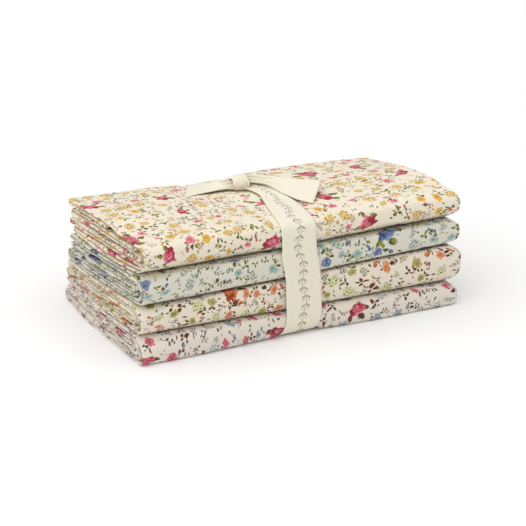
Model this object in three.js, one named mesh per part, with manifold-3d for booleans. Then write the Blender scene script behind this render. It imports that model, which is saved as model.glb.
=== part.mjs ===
// Quarter-yard fabric bundle: four folded cottons, one on the other, held by a flat cotton tape that is
// knotted on top. Millimetres, X along the folds, Y to the back, +Z up. The origin is the centre of the
// footprint, on the surface that the bundle rests on.
import * as THREE from "three";
import { mergeVertices } from "three/addons/utils/BufferGeometryUtils.js";
import Module from "manifold-3d";

const wasm = await Module();
wasm.setup();
const { lerp, clamp } = THREE.MathUtils;

// ---- The folded cloths -------------------------------------------------------------------------

const CUT_WIDTH = 250; // short side of each quarter cut, along X
const FRONT_TO_BACK = 143; // from the front folds to the back creases
const RUNS = 8; // runs of each cloth, one above another
const PITCH = 2.75; // from one run to the next, before the stack presses them
const SHEET = 2.2; // one run of cloth with its nap and the air that it holds
const SLACK = PITCH - SHEET; // between two runs
const SECTION = RUNS * PITCH; // height of one folded cloth, before the stack presses it
const CLOTH_CLEARANCE = 0.25; // from each cloth to the line between it and the next
const LEFT_END = -127.5; // X of the cloths' left ends
const LEFT_BOW = 3; // the left ends bow out between front and back
const END_SWELL_AT_SEAMS = 0.55; // share of a rounded right end that the top and bottom runs keep

// Heights of the surfaces between the cloths, at the four corners of the stack
const SEAMS = [
  { under: "bottom cloth", frontLeft: 0, frontRight: 0, backLeft: 0, backRight: 0 },
  { under: "third cloth", frontLeft: 24, frontRight: 20, backLeft: 20, backRight: 19 },
  { under: "second cloth", frontLeft: 43.8, frontRight: 47.5, backLeft: 32.5, backRight: 38 },
  { under: "top cloth", frontLeft: 68, frontRight: 68.3, backLeft: 53, backRight: 56 },
  { under: "tape", frontLeft: 86.4, frontRight: 86.4, backLeft: 79.6, backRight: 78.4 },
];
const SEAM_Y = FRONT_TO_BACK / 2; // the corners lie this far to the front and back
const TOP_CROWN = 3; // the top surface rises between front and back
const TOP_GROOVE = 2.4; // depth that the tape presses into the top cloth
const BASE_GROOVE = 2; // and into the bottom cloth from below
const FRONT_LIFT = 3; // the tape draws the bottom cloth up by this much more towards the front
const FACE_PRESS = 1.2; // the tape presses the front and back faces in
const RIGHT_DROP = 0.8; // the top surface sinks at the right end
const RIGHT_BACK_DROP = 4; // and by this much more at its back corner

// Cross-sections along X. One that follows the tape is placed from the tape's centre and runs askew with
// it. pressed is the share of the tape's grooves, dropped the share of the sunk right end, and swollen
// the share of the rounded right end, or of the bowed left end where it is -1.
const SECTIONS = [
  { x: LEFT_END, follows: false, pressed: 0, dropped: 0, swollen: -1 },
  { x: -72, follows: false, pressed: 0, dropped: 0, swollen: 0 },
  { x: -34, follows: true, pressed: 0.3, dropped: 0, swollen: 0 },
  { x: -16, follows: true, pressed: 1, dropped: 0, swollen: 0 },
  { x: 16, follows: true, pressed: 1, dropped: 0, swollen: 0 },
  { x: 36, follows: true, pressed: 0.25, dropped: 0, swollen: 0 },
  { x: 84, follows: false, pressed: 0, dropped: 0, swollen: 0 },
  { x: 109, follows: false, pressed: 0, dropped: 0.4, swollen: 0.35 },
  { x: LEFT_END + CUT_WIDTH - 2.7, follows: false, pressed: 0, dropped: 1, swollen: 1 },
];

// Each cloth is one strip laid back and forth. A row is one run: its level from the bottom, the side that
// it runs to, how far its fold stays inside that face and, for a shaped front fold, how many folds lie
// around it. The first row starts, and the last row ends, in one of the strip's free ends.
const HALVED_THREE_TIMES = [
  { level: 6, to: "front", inset: 9.4, nested: 2 },
  { level: 3, to: "back", inset: 3.4 },
  { level: 2, to: "front", inset: 5, nested: 1 },
  { level: 7, to: "back", inset: 3 },
  { level: 8, to: "front", inset: 0, nested: 0 },
  { level: 1, to: "back", inset: 0 },
  { level: 4, to: "front", inset: 13.4, nested: 3 },
  { level: 5, to: "back", inset: 5 },
];
// The uppermost run covers a short flap and then wraps the front of all the others.
const WRAPPED_OVER = [
  { level: 7, to: "back", inset: 0 },
  { level: 8, to: "front", inset: 0, nested: 0 },
  { level: 1, to: "back", inset: 5 },
  { level: 2, to: "front", inset: 4 },
  { level: 3, to: "back", inset: 1.5 },
  { level: 4, to: "front", inset: 6.5 },
  { level: 5, to: "back", inset: 4 },
  { level: 6, to: "front", inset: 13 },
];
const MOST_NESTED = 3;

// freeStart is how far the strip's first end stays inside its face, and swell how far the right end is
// rounded out. The wrap is the outermost front fold: belly is the height at which it comes furthest out,
// above and below are how far its upper and lower curves reach in.
const CLOTHS = [
  {
    name: "cloth_bottom",
    color: 0xd8d4ce,
    front: -72.2,
    back: 72.2,
    freeStart: 9,
    swell: 8.5,
    wrap: { belly: 4.8, above: 17, below: 2.6 },
    runs: HALVED_THREE_TIMES,
  },
  {
    name: "cloth_third",
    color: 0xe6ddcd,
    front: -68.9,
    back: 70.2,
    freeStart: 3,
    swell: 10.7,
    wrap: { belly: 7, above: 14, below: 4 },
    runs: HALVED_THREE_TIMES,
  },
  {
    name: "cloth_second",
    color: 0xd5d9d3,
    front: -69.9,
    back: 68.7,
    freeStart: 6,
    swell: 9,
    wrap: { belly: 8, above: 13, below: 5 },
    runs: HALVED_THREE_TIMES,
  },
  {
    name: "cloth_top",
    color: 0xf0e8d8,
    front: -69,
    back: 66.7,
    freeStart: 60,
    swell: 8,
    wrap: { belly: 3.8, above: 23, below: 2.4 },
    runs: WRAPPED_OVER,
  },
];
const TOP_SEAM = CLOTHS.length;

// ---- The tape ----------------------------------------------------------------------------------

const TAPE_COLOR = 0xf1e9d6;
const TAPE_WIDTH = 28;
const TAPE_THICKNESS = 1;
const TAPE_CLEARANCE = 0.4; // between tape and cloth
const TAPE_FRONT_X = -3.5; // the tape's centre on the front face
const TAPE_BACK_X = -18.5; // and on the back: it runs a little askew
const GATHERED_THICKNESS = 1.8; // the tape where it is drawn together at the knot
const GATHERED_BELOW = 20; // it thickens as it narrows from this width down to half of it
const BAND_END_GAP = 1.5; // each end of the band stops this far from the middle of the knot, inside it
const SHORTEST_STEP = 0.8; // between two rows of the band
const KNOT = { x: -8, y: 18.2, z: 88.8, length: 13.5, depth: 16, height: 10.6, turn: -0.2 };

// The tape's two edges where it narrows over the top towards the knot
const TAPE_TOP = [
  { y: -55, left: -17.5, right: 10.5 },
  { y: -39, left: -16, right: 7 },
  { y: -19, left: -12, right: 6 },
  { y: -5, left: -9.5, right: 5 },
  { y: 9, left: -9.5, right: 1 },
  { y: 20, left: -11.5, right: -2.5 },
  { y: 31, left: -16.5, right: -4 },
  { y: 51, left: -30, right: -4 },
];

// The tape's tails, from inside the knot to the cut end, by their far and near edges
const TAIL_LEFT = [
  { far: [-7.5, 24, 89.4], near: [-7.5, 16, 88.8] },
  { far: [-15.5, 30, 89.6], near: [-16.5, 14, 88.4] },
  { far: [-26.5, 34.5, 89], near: [-29.5, 11.5, 88.2] },
  { far: [-38.5, 36.5, 88.4], near: [-44.5, 12.5, 87.6] },
  { far: [-48.5, 37.5, 87], near: [-58.5, 14, 87] },
];
const TAIL_RIGHT = [
  { far: [-6.5, 23.5, 90], near: [-8.5, 15.5, 88.6] },
  { far: [2.5, 9.5, 93.2], near: [-1.5, 3.5, 90.6] },
  { far: [18.5, -5.3, 94], near: [6.5, -14.3, 89.3] },
  { far: [28.5, -12.3, 94], near: [10, -29.3, 88] },
  { far: [37, -19.3, 93.6], near: [17.5, -42.3, 87.4] },
];

// ---- Sheets ------------------------------------------------------------------------------------

// A closed sheet: corner(along, across, side) gives each corner, side being -1 or 1.
function sheet(alongCount, acrossCount, corner) {
  const points = [];
  for (let along = 0; along < alongCount; along++)
    for (let across = 0; across < acrossCount; across++)
      for (const side of [-1, 1]) points.push(...corner(along, across, side));
  const under = (along, across) => 2 * (along * acrossCount + across);
  const over = (along, across) => under(along, across) + 1;
  const faces = [];
  const quad = (a, b, c, d) => faces.push(a, b, c, a, c, d);
  const end = alongCount - 1;
  const edge = acrossCount - 1;
  for (let i = 0; i < end; i++)
    for (let j = 0; j < edge; j++) {
      quad(over(i, j), over(i + 1, j), over(i + 1, j + 1), over(i, j + 1));
      quad(under(i, j), under(i, j + 1), under(i + 1, j + 1), under(i + 1, j));
    }
  for (let i = 0; i < end; i++) {
    quad(under(i, 0), under(i + 1, 0), over(i + 1, 0), over(i, 0));
    quad(over(i, edge), over(i + 1, edge), under(i + 1, edge), under(i, edge));
  }
  for (let j = 0; j < edge; j++) {
    quad(under(0, j), over(0, j), over(0, j + 1), under(0, j + 1));
    quad(over(end, j), under(end, j), under(end, j + 1), over(end, j + 1));
  }
  const geometry = new THREE.BufferGeometry();
  geometry.setAttribute("position", new THREE.Float32BufferAttribute(points, 3));
  geometry.setIndex(faces);
  return geometry;
}

// Unit normals of a plane line, to the right of its direction
function normals(line) {
  return line.map((_, i) => {
    const before = line[Math.max(i - 1, 0)];
    const after = line[Math.min(i + 1, line.length - 1)];
    const along = after.clone().sub(before).normalize();
    return new THREE.Vector2(along.y, -along.x);
  });
}

// A plane line moved sideways, to the right of its direction
function offset(line, distance) {
  const out = normals(line);
  return line.map((point, i) => point.clone().addScaledVector(out[i], distance));
}

// ---- Folding -----------------------------------------------------------------------------------

// How a fold between two levels is shaped: a plain one is round, and the wrap's shape passes into that
// from the outermost nested fold to the innermost.
function foldShape(wrap, nested, level, nextLevel) {
  const round = Math.abs(nextLevel - level) / 2;
  if (nested === undefined) return { belly: (level + nextLevel) / 2, above: round, below: round };
  const share = nested / MOST_NESTED;
  return {
    belly: lerp(wrap.belly, SECTION / 2, share),
    above: lerp(wrap.above, PITCH / 2, share),
    below: lerp(wrap.below, PITCH / 2, share),
  };
}

// The centre line of one folded strip in its own section: x from the front face, y the height
function foldedLine(cloth) {
  const depth = cloth.back - cloth.front;
  const heightOf = (level) => (level - 0.5) * PITCH;
  const points = [];
  let from = cloth.runs[0].to === "front" ? depth - cloth.freeStart : cloth.freeStart;
  cloth.runs.forEach((run, i) => {
    const level = heightOf(run.level);
    const face = run.to === "front" ? run.inset : depth - run.inset;
    const next = cloth.runs[i + 1];
    if (!next) {
      for (const share of [0, 1 / 2, 1]) points.push(new THREE.Vector2(lerp(from, face, share), level));
      return;
    }
    const nextLevel = heightOf(next.level);
    const fold = foldShape(cloth.wrap, run.nested, level, nextLevel);
    const inward = run.to === "front" ? 1 : -1;
    const apex = face + (inward * SHEET) / 2;
    const reach = (end) => inward * (end > fold.belly ? fold.above : fold.below);
    const start = apex + reach(level);
    const isOuter = run.level === 1 || run.level === RUNS;
    for (const share of isOuter ? [0, 1 / 3, 2 / 3] : [0, 1 / 2])
      points.push(new THREE.Vector2(lerp(from, start, share), level));
    // Two quarter turns of an ellipse, from this level to the belly and on to the next level
    const curve = (end, turn) =>
      new THREE.Vector2(
        apex + reach(end) * (1 - Math.cos(turn)),
        fold.belly + (end - fold.belly) * Math.sin(turn),
      );
    const stepsFrom = (end) => {
      const height = Math.abs(end - fold.belly);
      if (height > 2 * PITCH) return 4;
      return height > 0.8 * PITCH ? 3 : 2;
    };
    const quarter = Math.PI / 2;
    for (let k = stepsFrom(level); k >= 0; k--) points.push(curve(level, (quarter * k) / stepsFrom(level)));
    for (let k = 1; k <= stepsFrom(nextLevel); k++)
      points.push(curve(nextLevel, (quarter * k) / stepsFrom(nextLevel)));
    from = apex + reach(nextLevel);
  });
  return points.filter((point, i) => i === 0 || point.distanceTo(points[i - 1]) > 0.01);
}

// ---- The stack ---------------------------------------------------------------------------------

const backShare = (y) => clamp(y / FRONT_TO_BACK + 0.5, 0, 1);
const tapeCentre = (y) => lerp(TAPE_FRONT_X, TAPE_BACK_X, backShare(y));

// Height of the surface under the cloth of that level, TOP_SEAM being the top of the stack
function seamHeight(level, x, y, section) {
  const seam = SEAMS[level];
  const right = clamp(x / CUT_WIDTH + 0.5, 0, 1);
  const front = lerp(seam.frontLeft, seam.frontRight, right);
  const flat = lerp(front, lerp(seam.backLeft, seam.backRight, right), backShare(y));
  if (level === 0) return flat + section.pressed * (BASE_GROOVE + FRONT_LIFT * (1 - backShare(y)));
  if (level < TOP_SEAM) return flat;
  const crown = TOP_CROWN * (1 - (y / SEAM_Y) ** 2);
  const drop = RIGHT_DROP + RIGHT_BACK_DROP * Math.max(0, y / SEAM_Y);
  return flat + crown - TOP_GROOVE * section.pressed - drop * section.dropped;
}

// A point of a cloth's own section, set into the stack
function inStack(cloth, level, point, section) {
  const share = (point.y - SLACK / 2) / (SECTION - SLACK);
  const middle = (cloth.front + cloth.back) / 2;
  let y = cloth.front + point.x;
  y -= FACE_PRESS * section.pressed * clamp((y - middle) / SEAM_Y, -1, 1);
  const swell = cloth.swell * lerp(1, END_SWELL_AT_SEAMS, (2 * share - 1) ** 2);
  const bow = LEFT_BOW * (1 - (y / SEAM_Y) ** 2);
  const askew = section.follows ? tapeCentre(y) : 0;
  const x = section.x + askew + section.swollen * (section.swollen > 0 ? swell : bow);
  const low = seamHeight(level, x, y, section) + (level > 0 ? CLOTH_CLEARANCE : 0);
  const high = seamHeight(level + 1, x, y, section) - (level + 1 < TOP_SEAM ? CLOTH_CLEARANCE : 0);
  return new THREE.Vector3(x, y, lerp(low, high, share));
}

function clothGeometry(cloth, level) {
  const centre = foldedLine(cloth);
  const sides = { "-1": offset(centre, -SHEET / 2), 1: offset(centre, SHEET / 2) };
  return sheet(centre.length, SECTIONS.length, (i, j, side) =>
    inStack(cloth, level, sides[side][i], SECTIONS[j]).toArray(),
  );
}

// ---- Band, knot and tails ----------------------------------------------------------------------

// The convex hull of points in a plane, anticlockwise
function convexHull(points) {
  const half = (list) => {
    const kept = [];
    for (const p of list) {
      while (kept.length > 1) {
        const [a, b] = kept.slice(-2);
        if ((b.x - a.x) * (p.y - a.y) > (b.y - a.y) * (p.x - a.x)) break;
        kept.pop();
      }
      kept.push(p);
    }
    return kept.slice(0, -1);
  };
  const sorted = [...points].sort((a, b) => a.x - b.x || a.y - b.y);
  return [...half(sorted), ...half(sorted.reverse())];
}

const isOnTop = (point) => point.y > SEAMS[TOP_SEAM - 1].frontLeft;

// The rows of TAPE_TOP that lie between two points of the band, as points on the line between them
function topRowsBetween(start, end) {
  if (!isOnTop(start) || !isOnTop(end)) return [];
  const low = Math.min(start.x, end.x) + 2 * SHORTEST_STEP;
  const high = Math.max(start.x, end.x) - 2 * SHORTEST_STEP;
  return TAPE_TOP.map((row) => row.y)
    .filter((y) => y > low && y < high)
    .sort((a, b) => (a - b) * Math.sign(end.x - start.x))
    .map((y) => start.clone().lerp(end, (y - start.x) / (end.x - start.x)));
}

// The line of the taut tape in the YZ plane, from the knot to the back, underneath and up the front to the
// knot again: the hull of the pressed section, eased out by the clearance and half the tape's thickness.
function tautLine() {
  const pressed = SECTIONS.find((section) => section.pressed === 1);
  const corners = CLOTHS.flatMap((cloth, level) =>
    [-1, 1].flatMap((side) =>
      offset(foldedLine(cloth), (side * SHEET) / 2).map((point) => {
        const placed = inStack(cloth, level, point, pressed);
        return new THREE.Vector2(placed.y, placed.z);
      }),
    ),
  );
  const hull = convexHull(corners);
  const cutAt = hull.findIndex((point, i) => {
    const next = hull[(i + 1) % hull.length];
    return isOnTop(point) && point.x > KNOT.y && next.x <= KNOT.y;
  });
  const ring = hull.map((_, i) => hull[(cutAt + 1 + i) % hull.length]);
  const [after, before] = [ring[0], ring[ring.length - 1]];
  const onTop = (y) => before.clone().lerp(after, (y - before.x) / (after.x - before.x));
  const line = [];
  for (const point of [onTop(KNOT.y - BAND_END_GAP), ...ring, onTop(KNOT.y + BAND_END_GAP)]) {
    const last = line[line.length - 1];
    if (last && point.distanceTo(last) < SHORTEST_STEP) continue;
    if (last) line.push(...topRowsBetween(last, point));
    line.push(point);
  }
  return offset(line, TAPE_CLEARANCE + TAPE_THICKNESS / 2);
}

// X of the tape's left and right edges where the band passes y, on top of the stack or elsewhere
function tapeEdges(y, onTop) {
  const i = TAPE_TOP.findIndex((row) => row.y > y);
  if (onTop && i > 0) {
    const [a, b] = [TAPE_TOP[i - 1], TAPE_TOP[i]];
    const share = (y - a.y) / (b.y - a.y);
    return { left: lerp(a.left, b.left, share), right: lerp(a.right, b.right, share) };
  }
  const centre = tapeCentre(y);
  return { left: centre - TAPE_WIDTH / 2, right: centre + TAPE_WIDTH / 2 };
}

// A strip of tape through rows of two edge points and a thickness
function strip(rows) {
  const acrossCount = 3;
  const at = (i, j) => {
    const row = rows[clamp(i, 0, rows.length - 1)];
    return row.a.clone().lerp(row.b, j / (acrossCount - 1));
  };
  return sheet(rows.length, acrossCount, (i, j, side) => {
    const across = rows[i].b.clone().sub(rows[i].a);
    const normal = at(i + 1, j).sub(at(i - 1, j)).cross(across).normalize();
    return at(i, j).addScaledVector(normal, (side * rows[i].thickness) / 2).toArray();
  });
}

function bandGeometry() {
  return strip(
    tautLine().map((point) => {
      const onTop = isOnTop(point);
      const { left, right } = tapeEdges(point.x, onTop);
      const gathered = clamp((2 * (GATHERED_BELOW - (right - left))) / GATHERED_BELOW, 0, 1);
      const thickness = lerp(TAPE_THICKNESS, GATHERED_THICKNESS, gathered);
      const z = point.y + (onTop ? (thickness - TAPE_THICKNESS) / 2 : 0);
      return { a: new THREE.Vector3(left, point.x, z), b: new THREE.Vector3(right, point.x, z), thickness };
    }),
  );
}

function tailGeometry(edges, leadingEdge) {
  const trailingEdge = leadingEdge === "far" ? "near" : "far";
  return strip(
    edges.map((row) => ({
      a: new THREE.Vector3(...row[leadingEdge]),
      b: new THREE.Vector3(...row[trailingEdge]),
      thickness: TAPE_THICKNESS,
    })),
  );
}

// The knot is one turn of tape drawn round the tails: a short barrel with rounded ends.
function knotGeometry() {
  const half = KNOT.length / 2;
  const rounding = 2.2;
  const end = [
    [0.62, half],
    [0.88, half - 0.35 * rounding],
    [1, half - rounding],
  ];
  const mirrored = end.map(([radius, x]) => [radius, -x]).reverse();
  const profile = [[0, half], ...end, [1.03, 0], ...mirrored, [0, -half]].reverse();
  const geometry = new THREE.LatheGeometry(profile.map(([radius, x]) => new THREE.Vector2(radius, x)), 14);
  geometry.rotateZ(-Math.PI / 2);
  geometry.scale(1, KNOT.depth / 2, KNOT.height / 2);
  geometry.rotateZ(KNOT.turn);
  geometry.translate(KNOT.x, KNOT.y, KNOT.z);
  return geometry;
}

function toSolid(geometry) {
  geometry.deleteAttribute("normal");
  geometry.deleteAttribute("uv");
  const merged = mergeVertices(geometry, 1e-3);
  const vertProperties = merged.attributes.position.array;
  const triVerts = new Uint32Array(merged.index.array);
  return new wasm.Manifold(new wasm.Mesh({ numProp: 3, vertProperties, triVerts }));
}

// The tape is one length: its band, knot and two tails are joined.
function tapeGeometry() {
  const tails = [tailGeometry(TAIL_LEFT, "near"), tailGeometry(TAIL_RIGHT, "far")];
  const solids = [bandGeometry(), knotGeometry(), ...tails].map(toSolid);
  const mesh = solids.reduce((whole, piece) => whole.add(piece)).getMesh();
  const geometry = new THREE.BufferGeometry();
  geometry.setAttribute("position", new THREE.BufferAttribute(mesh.vertProperties, 3));
  geometry.setIndex(new THREE.BufferAttribute(mesh.triVerts, 1));
  return geometry;
}

// ---- The bundle --------------------------------------------------------------------------------

function piece(name, geometry, color) {
  const material = new THREE.MeshStandardMaterial({ color, roughness: 0.9, metalness: 0 });
  const mesh = new THREE.Mesh(geometry, material);
  mesh.name = name;
  return mesh;
}

const bundle = new THREE.Group();
CLOTHS.forEach((cloth, level) => bundle.add(piece(cloth.name, clothGeometry(cloth, level), cloth.color)));
bundle.add(piece("tape", tapeGeometry(), TAPE_COLOR));

export default bundle;
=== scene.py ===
"""Quarter-yard fabric bundle: four folded floral cottons tied with a flat tape, around the CAD frame."""

from functools import partialmethod
import math

import bmesh
import bpy
import numpy as np
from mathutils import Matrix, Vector


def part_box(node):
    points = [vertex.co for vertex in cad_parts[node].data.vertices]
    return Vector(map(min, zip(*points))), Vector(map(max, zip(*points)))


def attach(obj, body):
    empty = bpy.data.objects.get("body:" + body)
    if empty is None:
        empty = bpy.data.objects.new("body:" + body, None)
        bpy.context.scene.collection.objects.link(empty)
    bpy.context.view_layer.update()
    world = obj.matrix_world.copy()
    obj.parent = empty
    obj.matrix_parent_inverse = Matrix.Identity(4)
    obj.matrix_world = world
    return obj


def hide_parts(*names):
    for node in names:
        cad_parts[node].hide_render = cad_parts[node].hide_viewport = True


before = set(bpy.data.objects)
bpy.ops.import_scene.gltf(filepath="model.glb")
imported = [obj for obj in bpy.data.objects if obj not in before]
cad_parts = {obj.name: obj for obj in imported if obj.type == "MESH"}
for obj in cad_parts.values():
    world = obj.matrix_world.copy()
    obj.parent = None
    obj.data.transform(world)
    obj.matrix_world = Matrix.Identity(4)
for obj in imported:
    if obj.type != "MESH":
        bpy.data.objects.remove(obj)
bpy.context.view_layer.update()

MM = 0.001


def table(header, *rows):
    """Rows of values under the column names that the header holds."""
    return [dict(zip(header.split(), row)) for row in rows]


def column_of(rows, field):
    return [row[field] for row in rows]


# ---- Sizes of the cloths, in millimetres ----

CUT_WIDTH = 250  # short side of each quarter cut, along X
FRONT_TO_BACK = 143
RUNS = 8
PITCH = 2.75  # from one run of cloth to the next
SHEET = 2.2  # one run with its nap and air
SLACK = PITCH - SHEET
SECTION = RUNS * PITCH
CLOTH_CLEARANCE = 0.25
LEFT_END = -127.5
RIGHT_END = LEFT_END + CUT_WIDTH - 2.7
LEFT_BOW = 3  # the left ends bow out between front and back

# Heights of the surfaces between the cloths, at the four corners of the stack
SEAMS = table(
    "front_left front_right back_left back_right",
    (0, 0, 0, 0),
    (20.7, 17, 20, 19),
    (41.9, 47.1, 32.5, 38),
    (64.8, 66.8, 53, 56),
    (86.4, 86.4, 79.6, 78.4),
)
SEAM_Y = FRONT_TO_BACK / 2
TOP_CLOTH_Z = SEAMS[-2]["front_left"]  # above this, the tape lies on the top cloth
TOP_CROWN = 3  # the top stands up between front and back
TOP_GROOVE = 1.4  # the tape presses the top in
BACK_GROOVE, BACK_GROOVE_X = 2.2, -17  # and more where it turns over the back edge
BACK_GROOVE_HALF, BACK_GROOVE_EDGE = 24, 10
BACK_SAG = 1.6  # the back edge of the top sinks between its corners
RIGHT_DROP = 0.8  # the right end sinks
RIGHT_FALL, RIGHT_FALL_Y, RIGHT_FALL_DEPTH = 4.2, 5, 60  # the top falls to its right back corner
RIGHT_CROWN, RIGHT_CROWN_Y, RIGHT_CROWN_HALF = 2.6, -25, 50  # and stands up in front of that
RIGHT_START, RIGHT_LENGTH = 30, 95  # both grow from here to the right end
BASE_GROOVE = 2
UNDERCUT = 1.5  # the tape draws the lowest corner in sharply
UNDERCUT_WIDE, UNDERCUT_X, UNDERCUT_HALF = 4.5, -15, 95  # and over most of its length
UNDERCUT_DEPTH = 18
FACE_PRESS = 1.2

# Stations along X. One that follows the tape is placed from the tape's centre.
STATIONS = table(
    "x follows pressed dropped swollen",
    (LEFT_END, 0, 0, 0, -1),
    (-72, 0, 0, 0, 0),
    (-34, 1, 0.3, 0, 0),
    (-16, 1, 1, 0, 0),
    (16, 1, 1, 0, 0),
    (36, 1, 0.25, 0, 0),
    (84, 0, 0, 0, 0),
    (109, 0, 0, 0.4, 0.35),
    (RIGHT_END, 0, 0, 1, 1),
)

# One row is one run of the strip: its level, the side it runs to, how far its fold stays inside that face
# and, for a shaped front fold, how many folds lie around it
HALVED = table(
    "level to inset nested",
    (6, "front", 9.4, 2),
    (3, "back", 3.4, None),
    (2, "front", 5, 1),
    (7, "back", 3, None),
    (8, "front", 0, 0),
    (1, "back", 0, None),
    (4, "front", 13.4, 3),
    (5, "back", 5, None),
)
WRAPPED = table(
    "level to inset nested",
    (7, "back", 0, None),
    (8, "front", 0, 0),
    (1, "back", 5, None),
    (2, "front", 4, None),
    (3, "back", 1.5, None),
    (4, "front", 6.5, None),
    (5, "back", 4, None),
    (6, "front", 13, None),
)
MOST_NESTED = 3

# How far the first free end lies from its face, how far the right end swells, and how much of that is lost
# at its top and its foot; how far the left end is drawn in, and the front at its foot; then the front
# fold's foremost height, its reach above and below that, and how full it is there: 2 is an ellipse
CLOTHS = table(
    "node slot free_start swell shoulder heel drawn_in tucked belly above below full_above full_below runs",
    ("cloth_bottom", "cotton_grey_beige", 9, 4.5, 5, 3, -1, 0.8, 5.5, 17, 2.6, 11, 3.2, HALVED),
    ("cloth_third", "cotton_cream", 3, 9, 10, 8, 0, 2.6, 10, 14, 4, 11, 3.2, HALVED),
    ("cloth_second", "cotton_pale_blue", 6, 6.5, 7, 7, 2, 2.9, 10.5, 13, 4.5, 11, 3.2, HALVED),
    ("cloth_top", "cotton_warm_cream", 60, 6.5, 3, 6, 3, 3.8, 13, 22, 8, 3, 2.1, WRAPPED),
)
for cloth in CLOTHS:
    cloth["front"], cloth["back"] = (round(corner[1] / MM, 1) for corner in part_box(cloth["node"]))


# ---- Small tools ----

def lerp(a, b, share):
    return a + (b - a) * share


def smooth(share):
    share = np.clip(share, 0, 1)
    return share * share * (3 - 2 * share)


LATTICE = 64


def noise(x, y, seed):
    """Smooth noise from -1 to 1 over a plane, with features of size 1."""
    lattice = np.random.default_rng(seed).uniform(-1, 1, (LATTICE, LATTICE))
    i, j = np.floor(x).astype(int), np.floor(y).astype(int)
    fx, fy = smooth(x - i), smooth(y - j)
    near, far = (
        lerp(lattice[i % LATTICE, row % LATTICE], lattice[(i + 1) % LATTICE, row % LATTICE], fx)
        for row in (j, j + 1)
    )
    return lerp(near, far, fy)


def monotone(x, knots, values):
    """A smooth curve through the knots that never overshoots them."""
    knots, values = np.asarray(knots, float), np.asarray(values, float)
    slopes = np.diff(values) / np.diff(knots)
    tangents = np.concatenate([[slopes[0]], (slopes[1:] + slopes[:-1]) / 2, [slopes[-1]]])
    turning = np.concatenate([[False], slopes[1:] * slopes[:-1] <= 0, [False]])
    tangents[turning] = 0
    limit = 3 * np.minimum(np.append(np.abs(slopes), np.inf), np.insert(np.abs(slopes), 0, np.inf))
    tangents = np.clip(tangents, -limit, limit)
    k = np.clip(np.searchsorted(knots, x) - 1, 0, len(knots) - 2)
    width = knots[k + 1] - knots[k]
    t = np.clip((x - knots[k]) / width, 0, 1)
    a, b = values[k], values[k + 1]
    low, high = tangents[k] * width, tangents[k + 1] * width
    return a + t * low + t**2 * (3 * (b - a) - 2 * low - high) + t**3 * (2 * (a - b) + low + high)


def right_normals(line):
    """Unit normals of a plane line, to the right of its direction."""
    along = np.gradient(line, axis=0)
    along /= np.linalg.norm(along, axis=1)[:, None]
    return np.stack([along[:, 1], -along[:, 0]], 1)


def lengths_along(line):
    return np.insert(np.cumsum(np.linalg.norm(np.diff(line, axis=0), axis=1)), 0, 0)


def round_edge(distance, radius):
    """How thick a sheet with a round edge is at a distance from that edge, from 0 to 1."""
    return np.sqrt(1 - (1 - np.clip(distance / radius, 0, 1)) ** 2)


# ---- Folding ----

STRAIGHT_STEP = 4
FOLD_STEP = 0.9
LARGE_FOLD, LARGE_FOLD_STEPS = 12, 16  # half of a fold from this size on has so many steps
SAME_POINT = 0.02


def fold_shape(cloth, nested, level, next_level):
    """A fold's foremost height, and its reach above and below that."""
    span = abs(next_level - level) / 2
    if nested is None:
        return (level + next_level) / 2, span, span
    innermost = {"belly": SECTION / 2, "above": PITCH / 2, "below": PITCH / 2}
    return [lerp(cloth[field], last, nested / MOST_NESTED) for field, last in innermost.items()]


def straight_run(start, end, level):
    steps = max(2, round(abs(end - start) / STRAIGHT_STEP))
    return [(lerp(start, end, k / steps), level) for k in range(steps + 1)]


def half_fold(apex, belly, reach, end, leaving):
    """A quarter of an ellipse between a fold's foremost point and the run that it leaves or joins."""
    size = math.hypot(end - belly, reach)
    count = max(3, round(1.1 * size / FOLD_STEP)) if size < LARGE_FOLD else LARGE_FOLD_STEPS
    if leaving:
        turns = np.linspace(math.pi / 2, 0, count + 1)
    else:
        turns = np.linspace(0, math.pi / 2, count + 1)[1:]
    return [(apex + reach * (1 - math.cos(turn)), belly + (end - belly) * math.sin(turn)) for turn in turns]


def folded_line(cloth):
    """The centre line of the folded strip: distance from the front face, and height."""
    depth = cloth["back"] - cloth["front"]
    points = []
    start = depth - cloth["free_start"] if cloth["runs"][0]["to"] == "front" else cloth["free_start"]
    for run, following in zip(cloth["runs"], cloth["runs"][1:] + [None]):
        level = (run["level"] - 0.5) * PITCH
        inward = 1 if run["to"] == "front" else -1
        face = run["inset"] if run["to"] == "front" else depth - run["inset"]
        if following is None:
            points += straight_run(start, face, level)
            break
        next_level = (following["level"] - 0.5) * PITCH
        belly, above, below = fold_shape(cloth, run["nested"], level, next_level)
        apex = face + inward * SHEET / 2
        leaves, joins = (inward * (above if end > belly else below) for end in (level, next_level))
        points += straight_run(start, apex + leaves, level)[:-1]
        points += half_fold(apex, belly, leaves, level, leaving=True)
        points += half_fold(apex, belly, joins, next_level, leaving=False)
        start = points.pop()[0]
    line = np.array(points)
    keep = np.insert(np.linalg.norm(np.diff(line, axis=0), axis=1) > SAME_POINT, 0, True)
    return line[keep]


# ---- The stack ----

PLAIN_COLUMN = 60  # a column away from tape and ends, where the print's length is measured
SQUARE_FADE = 30  # the folds are round at the left end, and grow square over this distance
TUCK_ABOVE, TUCK_DEPTH = 0.8, 16  # how far each bulging front recedes at its top, and over what depth
DROOP, DROOP_DEPTH = 0.7, 30  # each cloth sinks a little below the one above it towards the front
GROOVE_HALF, GROOVE_EDGE = 19, 4  # half the width of the groove under the stack, and its sloping edge
GROOVE_SHIFT = 2  # how far left it lies
TAPE_FRONT_X, TAPE_BACK_X = -3.5, -18.5


def back_share(y):
    return np.clip(y / FRONT_TO_BACK + 0.5, 0, 1)


def tape_centre(y):
    return lerp(TAPE_FRONT_X, TAPE_BACK_X, back_share(y))


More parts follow.
